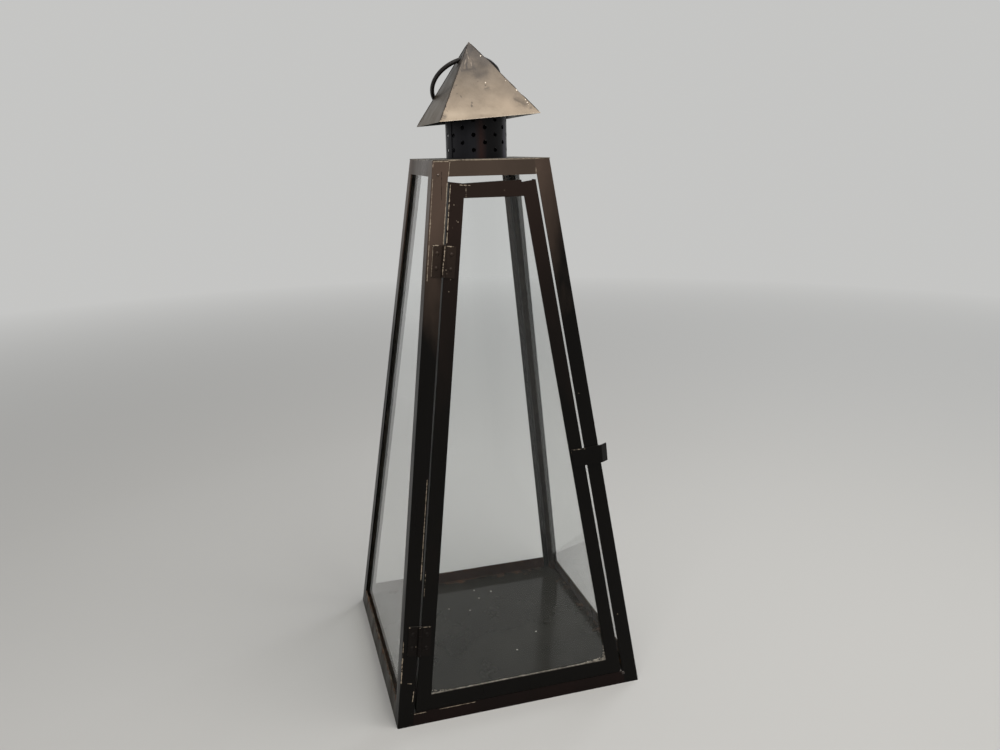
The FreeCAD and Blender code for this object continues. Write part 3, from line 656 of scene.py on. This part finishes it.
brazing, g, shader = new_material("dull_braze")
g.put(shader["Base Color"], g.mix(g.spread(g.noise(200.0, 4.0), 0.4, 0.6), BRAZE_DARK, BRAZE_PALE))
g.put(shader["Metallic"], 0.7)
g.put(shader["Roughness"], 0.5)
paint(brazing, "roof_tacks")

# %% [markdown]
# ## The cap's finish
# The cap has the frame's bronze, pale beige low down and browner towards the apex.  The beige
# is partly a paler tone of the paint and partly a painted sheen of the lamp overhead.  Its left
# side is greyer, a painted reflection of the grey surroundings, and faces that point down are
# darkened as painted shade; both are found by the direction in which the surface points.
# Broad stains have no core, and one of them is the painted shadow of the ring on the left
# side; the rub of the ring is noise drawn out down the slope, drips are narrow strokes, the
# front folds are shaded, the lower rim carries a painted highlight, and a few dents show as
# painted glints.  `on_cap` gives a point of the front slope, whose plane runs through the
# apex and the two front corners.

# %% Places on the front slope
cap_points = [v.co.copy() for v in nodes["roof_cap"].data.vertices]
apex = max(cap_points, key=lambda co: co.z)


def cap_corner(side_x, side_y):
    """The lowest point of the cap towards one side in X and one in Y, each -1 or 1."""
    return max(cap_points, key=lambda co: side_x * co.x + side_y * co.y - co.z)


corner_left = cap_corner(-1, -1)
corner_right = cap_corner(1, -1)
corner_behind = cap_corner(-1, 1)
cap_face = (corner_right - apex).cross(corner_left - apex).normalized()


def on_cap(x, z):
    y = apex.y - (cap_face.x * (x - apex.x) + cap_face.z * (z - apex.z)) / cap_face.y
    return Vector((x, y, z))


print("cap apex", tuple(round(c, 4) for c in apex), "slope faces", tuple(round(c, 2) for c in cap_face))

# %% Marks on the cap
soft_stains_and_ring_shadow = [
    (on_cap(0.0020, 0.7380), on_cap(0.0050, 0.7260), 10.0 * MM),
    (on_cap(-0.0205, 0.7191), on_cap(-0.0094, 0.7209), 5.0 * MM),
    (on_cap(-0.0150, 0.7290), on_cap(-0.0080, 0.7420), 7.0 * MM),
    (on_cap(-0.0037, 0.7139), on_cap(0.0070, 0.7180), 7.0 * MM),
    (on_cap(0.0330, 0.6885), on_cap(0.0430, 0.6830), 7.0 * MM),
    (on_cap(0.0491, 0.6789), on_cap(0.0491, 0.6789), 4.0 * MM),
    (on_cap(-0.0488, 0.6705), on_cap(-0.0488, 0.6705), 5.0 * MM),
    (on_cap(0.0060, 0.7010), on_cap(0.0020, 0.7000), 4.5 * MM),
    # A painted shadow of the ring across the left side.
    (apex.lerp(corner_left, 0.56), apex.lerp(corner_behind, 0.70), 5.5 * MM),
    (apex.lerp(corner_left, 0.05), apex.lerp(corner_right, 0.24), 6.0 * MM),
]
faded = [(on_cap(-0.0420, 0.6725), on_cap(0.0080, 0.6745), 11.0 * MM)]
ring_rub = [
    (on_cap(-0.0085, 0.7450), on_cap(-0.0150, 0.7270), 14.0 * MM),
    (on_cap(-0.0160, 0.7235), on_cap(-0.0060, 0.7235), 8.0 * MM),
]
ring_scratches = [
    (on_cap(-0.0098, 0.7431), on_cap(-0.0103, 0.7384), 0.6 * MM),
    (on_cap(-0.0101, 0.7372), on_cap(-0.0096, 0.7327), 0.7 * MM),
    (on_cap(-0.0129, 0.7327), on_cap(-0.0150, 0.7270), 0.8 * MM),
    (on_cap(-0.0079, 0.7289), on_cap(-0.0077, 0.7251), 0.6 * MM),
]
drips = [
    (on_cap(-0.0097, 0.7431), on_cap(-0.0154, 0.7306), 2.0 * MM),
    (on_cap(-0.0084, 0.7404), on_cap(-0.0125, 0.7280), 1.5 * MM),
    (on_cap(-0.0060, 0.7431), on_cap(-0.0092, 0.7340), 1.4 * MM),
    (on_cap(-0.0155, 0.7290), on_cap(-0.0190, 0.7215), 1.6 * MM),
    (on_cap(-0.0200, 0.7205), on_cap(-0.0080, 0.7215), 2.4 * MM),
    (on_cap(-0.0161, 0.6850), on_cap(-0.0172, 0.6807), 1.4 * MM),
] + dots([on_cap(x, z) for x, z in (
    (0.0032, 0.7034), (-0.0332, 0.7004), (-0.0294, 0.7039), (-0.0304, 0.6948),
    (-0.0267, 0.6914))], 1.6 * MM)
ridge_shade = [
    (apex.lerp(corner_left, 0.03), apex.lerp(corner_left, 0.97), 1.3 * MM),
    (apex.lerp(corner_right, 0.03), apex.lerp(corner_right, 0.97), 0.75 * MM),
]
# A painted highlight along the lower rim.
rim_light = [(corner_left.lerp(corner_right, 0.02), corner_left.lerp(corner_right, 0.98), 1.0 * MM)]
# Painted glints: bright dots where small dents catch the light.
glints = dots([on_cap(x, z) for x, z in (
    (0.0048, 0.7360), (0.0039, 0.7062), (0.0270, 0.7090), (0.0373, 0.6982), (0.0448, 0.6876),
    (0.0462, 0.6850), (0.0471, 0.6828))], 0.95 * MM)
print(len(soft_stains_and_ring_shadow), "stains,", len(drips), "drips and", len(glints), "glints")

# %% Cap finish
# Pale beige low down, partly the paint's paler tone and partly a painted sheen of the lamp overhead,
# turning browner towards the apex.
BEIGE_AND_SHEEN = (0.196, 0.153, 0.109, 1)
BROWNED = (0.036, 0.027, 0.020, 1)
BEIGE_AND_SHEEN_BELOW, BROWNED_ABOVE = apex.z - 82 * MM, apex.z - 8 * MM

cap_finish, g, shader = new_material("weathered_bronze")
rise = g.spread(g.spot()["Z"], BEIGE_AND_SHEEN_BELOW, BROWNED_ABOVE, 0.0, 0.86)
mottled = g.times(g.math("SUBTRACT", g.noise(34.0, 7.0, roughness=0.62), 0.5), 0.8)
normal = g.facing()
streaky = g.spread(g.noise(230.0, 5.0, (1.0, 0.10, 0.10), 0.65), 0.42, 0.52)
# Faces that point down: painted shade under the cap, which also takes away their metallic sheen.
painted_underside_shade = g.spread(normal["Z"], -0.10, -0.35)
# Painted sheen in the beige low down, fading to brown at the apex.
aged_and_lit = g.mix(g.spread(g.math("ADD", rise, mottled), 0.0, 0.8), BEIGE_AND_SHEEN, BROWNED)
g.put(shader["Base Color"], g.layers(aged_and_lit, [
    (strokes(g, faded, core=0.0, grain=60.0), 0.55, (0.285, 0.235, 0.175, 1)),
    # The left side greyed: a painted reflection of the grey surroundings.
    (g.spread(normal["X"], -0.25, -0.6), 0.42, (0.032, 0.030, 0.026, 1)),
    (strokes(g, soft_stains_and_ring_shadow, core=0.0, grain=120.0), 0.62, (0.030, 0.022, 0.016, 1)),
    (g.times(streaky, strokes(g, ring_rub, core=0.4, grain=90.0)), 0.9, (0.014, 0.010, 0.008, 1)),
    # Painted highlight on the lower rim.
    (strokes(g, rim_light, core=0.3), 0.7, (0.36, 0.31, 0.25, 1)),
    (strokes(g, ridge_shade, core=0.5), 0.85, (0.022, 0.016, 0.012, 1)),
    (strokes(g, drips, core=0.2), 0.75, (0.026, 0.019, 0.014, 1)),
    (strokes(g, ring_scratches), 0.45, (0.22, 0.18, 0.14, 1)),
    # Painted glints.
    (strokes(g, glints), 1.0, (0.66, 0.58, 0.48, 1)),
    (g.spread(g.noise(90.0, 6.0, (1.0, 0.22, 0.22), 0.7), 0.68, 0.76), 0.5, (0.32, 0.27, 0.21, 1)),
    (g.use(specks, Scale=220.0, Size=0.16, Share=0.05)["Mask"], 0.7, (0.060, 0.038, 0.026, 1)),
    (g.use(rubbed_edges, Radius=0.5 * MM, Loss=0.42)["Mask"], 0.7, (0.48, 0.41, 0.33, 1)),
    # Painted shade on the faces that point down.
    (painted_underside_shade, 1.0, (0.010, 0.009, 0.008, 1)),
]))
g.put(shader["Metallic"], g.spread(g.math("SUBTRACT", 0.35, painted_underside_shade), 0.0, 1.0))
g.put(shader["Roughness"], g.spread(g.noise(46.0, 6.0), 0.35, 0.65, 0.34, 0.48))
g.put(shader["Specular IOR Level"], 0.35)
dimples = g.math("ADD", g.noise(300.0, 3.0), g.times(g.noise(40.0, 2.0), 3.0))
g.put(shader["Normal"], g.bump(dimples, 0.3, 0.12 * MM))

# %% [markdown]
# ## Turning a bmesh into a piece
# Each new piece is modelled with bmesh operators straight in the lantern's own frame, so
# that its object can stay at the origin.  `piece` merges doubles, turns the faces outwards,
# and registers the body that it moves with and the slot of its finish.

# %% The piece helper
def piece(mesh, name, body, material, sharp=35.0, turn=True):
    bmesh.ops.remove_doubles(mesh, verts=mesh.verts, dist=1e-6)
    if turn:
        bmesh.ops.recalc_face_normals(mesh, faces=mesh.faces)
    data = bpy.data.meshes.new(name)
    mesh.to_mesh(data)
    mesh.free()
    data.shade_smooth()
    data.set_sharp_from_angle(angle=math.radians(sharp))
    data.materials.append(material)
    made = bpy.data.objects.new(name, data)
    scene.collection.objects.link(made)
    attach(made, body)
    print(name, len(data.polygons), "faces")
    return made


# %% [markdown]
# ## The dented cap
# A cap folded by hand from thin sheet is never flat: its front right ridge bulges at one
# place and is knocked in at another, and all of it wavers a little.  The cap's own mesh is
# copied, cut by evenly spaced planes so that it can bend, and then each vertex is moved by
# smooth fields: one fades out round each place on the ridge, and a slow noise makes the
# waver.  Both walls move together, because the fields depend on place only.  `noise_vector`
# takes its offsets from the clock, so the waver itself differs a little from run to run.

# %% Copy, slice and bend the cap
SLICE = 5 * MM
# Share of the way down the ridge, how far the metal is moved out, and how far that reaches.
KNOCKS = [(0.30, 1.0 * MM, 12 * MM), (0.71, -0.5 * MM, 6 * MM)]
WAVER = 0.2 * MM
WAVES_PER_METRE = 22


def sliced(mesh, low, high, spacing):
    """Cuts a mesh along planes square to each axis, without opening it."""
    for axis in range(3):
        normal = Vector((axis == 0, axis == 1, axis == 2))
        steps = int((high[axis] - low[axis]) / spacing)
        for k in range(1, steps + 1):
            everything = mesh.verts[:] + mesh.edges[:] + mesh.faces[:]
            bmesh.ops.bisect_plane(mesh, geom=everything, dist=1e-7,
                                   plane_co=normal * (low[axis] + k * spacing), plane_no=normal)


cap = bmesh.new()
cap.from_mesh(nodes["roof_cap"].data)
bmesh.ops.remove_doubles(cap, verts=cap.verts, dist=1e-6)
cap_low, cap_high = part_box("roof_cap")
ridge_out = Vector((1, -1, 0)).normalized()
sliced(cap, cap_low, cap_high, SLICE)
for v in cap.verts:
    start = v.co.copy()
    for share, depth, reach in KNOCKS:
        gap = (start - apex.lerp(corner_right, share)).length / reach
        v.co += ridge_out * depth * math.exp(-gap * gap)
    v.co.xy += noise.noise_vector(start * WAVES_PER_METRE).xy * WAVER
cap_piece = piece(cap, "cap_shell", "frame", cap_finish, sharp=28.0, turn=False)
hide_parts("roof_cap")

# %% [markdown]
# ## Beads that were laid by hand
# Solder along a ridge and putty along a pane are the same form: a thin tube that swells and
# shrinks.  `bead` starts from a circle, extrudes its rim from point to point and lets noise
# set the radius, so no two stretches are alike.  It grows thick over its first two steps
# and thin again over the last two.

# %% The bead builder
BEAD_SIDES = 7
THIN_END = 0.35
NOISE_STEP = 0.37


def bead(mesh, start, end, radius, step, seed, swell=0.45, squash=1.0, side=None):
    """A lumpy bar from start to end; squash flattens it along the direction side."""
    along = (end - start).normalized()
    side = (side or along.orthogonal()).normalized()
    turn = Matrix((side, along.cross(side), along)).transposed().to_4x4()
    place = Matrix.Translation(start) @ turn @ Matrix.Diagonal((squash, 1, 1, 1))
    count = max(2, int((end - start).length / step))
    size = THIN_END
    centre = start
    ring = bmesh.ops.create_circle(mesh, segments=BEAD_SIDES, radius=radius * size, cap_ends=True,
                                   matrix=place)["verts"]
    loop = list({e for v in ring for e in v.link_edges})
    for k in range(1, count + 1):
        grown = bmesh.ops.extrude_edge_only(mesh, edges=loop)["geom"]
        loop = [e for e in grown if isinstance(e, bmesh.types.BMEdge)]
        ends = min(1.0, THIN_END + (1 - THIN_END) * min(k, count - k) / 2)
        wanted = ends * (1 + swell * noise.noise(Vector((k * NOISE_STEP, seed, 0.0))))
        moved = start.lerp(end, k / count)
        for v in grown:
            if isinstance(v, bmesh.types.BMVert):
                v.co = moved + (v.co - centre) * (wanted / size)
        centre, size = moved, wanted
    bmesh.ops.contextual_create(mesh, geom=loop)


# %% [markdown]
# The cap was folded from one sheet and soldered along its ridges.  The solder shows as a
# thin dark line that stands a few tenths of a millimetre proud.  Three ridges have it from
# end to end; on the front right one the knocks have broken it into three stretches.

# %% Solder the ridges
SOLDER_STEP = 2 * MM
WHOLE_SEAM, BROKEN_SEAM = 0.42 * MM, 0.38 * MM

seam_paint = painted_steel("seam_brown", (0.014, 0.009, 0.007, 1), (0.034, 0.023, 0.016, 1), balance=0.7,
                           wear=0.0, edge=0.3 * MM, rust=0.0, dust=0.05, speck=0.1)
seams = bmesh.new()
for k, foot in enumerate((corner_left, cap_corner(1, 1), corner_behind)):
    bead(seams, apex.lerp(foot, 0.03), apex.lerp(foot, 0.985), WHOLE_SEAM, SOLDER_STEP, seed=3.0 * k)
for low, high in ((0.03, 0.25), (0.36, 0.67), (0.75, 0.97)):
    bead(seams, apex.lerp(corner_right, low), apex.lerp(corner_right, high), BROKEN_SEAM, SOLDER_STEP,
         seed=9.0 + low)
piece(seams, "ridge_solder", "frame", seam_paint)

# %% [markdown]
# Putty was pressed under the door pane and squeezed out along the bottom rail; it is pale
# with dust.  A thin bead runs the whole way, and both corners hold crumbled lumps, more of
# them on the right, where they climb beside the stile.  The lumps are flattened spheres,
# scattered with a seeded generator so that each run places them alike.  Only their dimples
# differ, because `noise_vector` takes its offsets from the clock.

# %% Putty finish
CHALK_DARK = (0.12, 0.105, 0.085, 1)
CHALK_PALE = (0.42, 0.39, 0.33, 1)

putty_finish, g, shader = new_material("pale_putty")
chalk = g.spread(g.noise(160.0, 6.0, roughness=0.7), 0.38, 0.62)
g.put(shader["Base Color"], g.mix(chalk, CHALK_DARK, CHALK_PALE))
g.put(shader["Roughness"], 0.8)
g.put(shader["Normal"], g.bump(g.noise(500.0, 4.0), 0.6, 0.3 * MM))

# %% The thin bead along the rail
PUTTY_DEPTH = 1.2 * MM
PUTTY_RADIUS, PUTTY_STEP = 0.75 * MM, 2.5 * MM
pane_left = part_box("door_glass")[0].x + 15.0 * MM
pane_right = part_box("door_glass")[1].x - 15.5 * MM
sill_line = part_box("door_rail_bottom")[1].z + 0.2 * MM

putty = bmesh.new()
bead_ends = [front_point(x, sill_line, -PUTTY_DEPTH) for x in (pane_left, pane_right)]
bead(putty, *bead_ends, PUTTY_RADIUS, PUTTY_STEP, seed=11.0, swell=1.1, squash=0.6, side=face_out)
print("putty from", round(pane_left, 4), "to", round(pane_right, 4), "at", round(sill_line, 4))

# %% Lumps pressed against the front
DIMPLES_PER_METRE, DIMPLE = 900, 0.12
FLATTENED = 0.5
face_turn = face_out.to_track_quat("Z", "Y").to_matrix().to_4x4()
draw = random.Random(41)


def lump(mesh, x, z, size, out, detail=1):
    """A dimpled sphere pressed against the leaning front."""
    shape = Matrix.Diagonal((size, size * draw.uniform(0.6, 1.0), size * FLATTENED, 1))
    place = Matrix.Translation(front_point(x, z, out)) @ face_turn @ shape
    made = bmesh.ops.create_icosphere(mesh, subdivisions=detail, radius=1.0, matrix=place)["verts"]
    for v in made:
        v.co += noise.noise_vector(v.co * DIMPLES_PER_METRE) * DIMPLE * size


def heap(count, corner, reach, crowding, heights, sizes):
    """Lumps in a corner of the pane: they thin out and get lower along the rail."""
    for _ in range(count):
        share = draw.random() ** crowding
        height = draw.uniform(heights[0], heights[1] * (1 - share)) * MM
        lump(putty, corner + share * reach, sill_line + height, draw.uniform(*sizes) * MM, -PUTTY_DEPTH)


def climbing_heap(count, rise, peak):
    """Lumps beside the right stile, nearer to it the higher they sit."""
    for _ in range(count):
        climb = draw.random() ** 1.3 * rise
        away = draw.uniform(0.5, 5.0) * (1.0 - climb / peak) * MM
        lump(putty, pane_right - slope * climb - away, sill_line + climb, draw.uniform(0.5, 1.2) * MM,
             -PUTTY_DEPTH)


heap(26, pane_left, 32 * MM, 1.6, heights=(0.4, 4.8), sizes=(0.45, 1.1))
heap(46, pane_right, -34 * MM, 1.5, heights=(0.5, 5.0), sizes=(0.5, 1.5))
climbing_heap(34, rise=22 * MM, peak=30 * MM)
piece(putty, "door_putty", "door", putty_finish)

# %% [markdown]
# ## Blemishes of the maker
# A spatter of braze stands on the front left post, and a drop of it closes the joint
# between the sill and the right post.  Each is a small sphere pressed flat against its
# face and dimpled with noise.

# %% Braze drops
DROPS = [(-0.0612, 0.6106, 1.7 * MM), (0.1300, 0.0130, 2.2 * MM), (0.1268, 0.0160, 1.8 * MM)]

drop_paint = painted_steel("drop_bronze", CHOCOLATE, BROWN, wear=0.2, edge=0.5 * MM, rust=0.0, gloss=0.20,
                           mirror=0.5)
drops = bmesh.new()
for x, z, size in DROPS:
    lump(drops, x, z, size, 0.0, detail=3)
piece(drops, "braze_drops", "frame", drop_paint)

# %% [markdown]
# ## Studio and camera
# A pale floor runs out to a pale surround of the same tone, so no horizon cuts through the
# glass.  Camera, mirror and glass rays see the plain tone.  Diffuse light comes from a
# dimmer surround, one broad lamp overhead, a tall one at the front left and a cool one
# behind.

# %% Surround
TONE = (0.56, 0.56, 0.55, 1)
LIT_SURROUND = (0.22, 0.22, 0.217, 1)


def backdrop(g, kind):
    """The plain tone for camera, mirror and glass rays, and a dimmer one that lights."""
    rays = g.node("LightPath").outputs
    seen = g.math("MAXIMUM", rays["Is Camera Ray"], rays["Is Transmission Ray"])
    seen = g.math("MAXIMUM", seen, rays["Is Glossy Ray"])
    plain = g.node(kind, {"Color": TONE, "Strength": 1.0}).outputs[0]
    soft = g.node(kind, {"Color": LIT_SURROUND, "Strength": 1.0}).outputs[0]
    return g.node("MixShader", {0: seen, 1: soft, 2: plain}).outputs[0]


scene.world = bpy.data.worlds.new("surround")
g = emptied(scene.world)
g.node("OutputWorld", {"Surface": backdrop(g, "Background")})
print("surround", TONE[:3], "lights as", LIT_SURROUND[:3])

# %% Studio floor
MATTE_FLOOR = (0.62, 0.62, 0.61, 1)
FLOOR_RADIUS = 9.0
FADE_FROM, FADE_TO = 0.9, 3.2

stage_finish = bpy.data.materials.new("studio_floor")
g = emptied(stage_finish)
matte = g.node("BsdfDiffuse", {"Color": MATTE_FLOOR})
place = g.node("TexCoord").outputs["Object"]
distance = g.node("VectorMath", {0: place}, operation="LENGTH").outputs["Value"]
far = g.spread(distance, FADE_FROM, FADE_TO)
faded_out = g.node("MixShader", {0: far, 1: matte.outputs[0], 2: backdrop(g, "Emission")})
g.node("OutputMaterial", {"Surface": faded_out.outputs[0]})
ground = bmesh.new()
bmesh.ops.create_circle(ground, cap_ends=True, segments=96, radius=FLOOR_RADIUS)
ground_data = bpy.data.meshes.new("studio_floor")
ground.to_mesh(ground_data)
ground.free()
ground_data.materials.append(stage_finish)
studio_floor = bpy.data.objects.new("studio_floor", ground_data)
scene.collection.objects.link(studio_floor)
print("studio floor fades into the surround from", FADE_FROM, "to", FADE_TO, "m")

# %% Lamps
AIM = Vector((0, 0, 0.4))


def lamp(name, place, size, watts, tint):
    light = bpy.data.lights.new(name, "AREA")
    light.shape = "RECTANGLE"
    light.size, light.size_y = size
    light.energy = watts
    light.color = tint
    made = bpy.data.objects.new(name, light)
    made.location = place
    made.rotation_euler = (AIM - Vector(place)).to_track_quat("-Z", "Y").to_euler()
    scene.collection.objects.link(made)
    print("lamp", name, watts, "W")


lamp("overhead", (0.45, -0.55, 2.1), (1.5, 1.5), 31, (1.0, 0.97, 0.93))
lamp("front_left", (-1.3, -1.7, 1.7), (0.8, 1.2), 8.5, (1.0, 0.96, 0.92))
lamp("back_fill", (1.9, 1.3, 1.9), (1.0, 1.0), 13, (0.94, 0.97, 1.0))

# %% [markdown]
# The camera stands about a metre from the lantern's middle, level with the chimney, turned
# to the right and tilted down, so that the front, the cap and the candle floor all show.

# %% Camera
FRAME_WIDTH = 1000
FOCAL_PIXELS = 844.5
CAMERA_PLACE = (-0.2595, -0.9748, 0.6410)
HEADING, TILTED_DOWN, ROLL = -16.168, 15.28, -1.103

view = bpy.data.cameras.new("viewpoint")
view.sensor_width = 36.0
view.lens = FOCAL_PIXELS / FRAME_WIDTH * view.sensor_width
camera = bpy.data.objects.new("viewpoint", view)
camera.matrix_world = (Matrix.Translation(CAMERA_PLACE)
                       @ Matrix.Rotation(math.radians(HEADING), 4, "Z")
                       @ Matrix.Rotation(math.radians(90 - TILTED_DOWN), 4, "X")
                       @ Matrix.Rotation(math.radians(ROLL), 4, "Z"))
scene.collection.objects.link(camera)
scene.camera = camera
print("lens", round(view.lens, 2), "mm, looking from", CAMERA_PLACE)
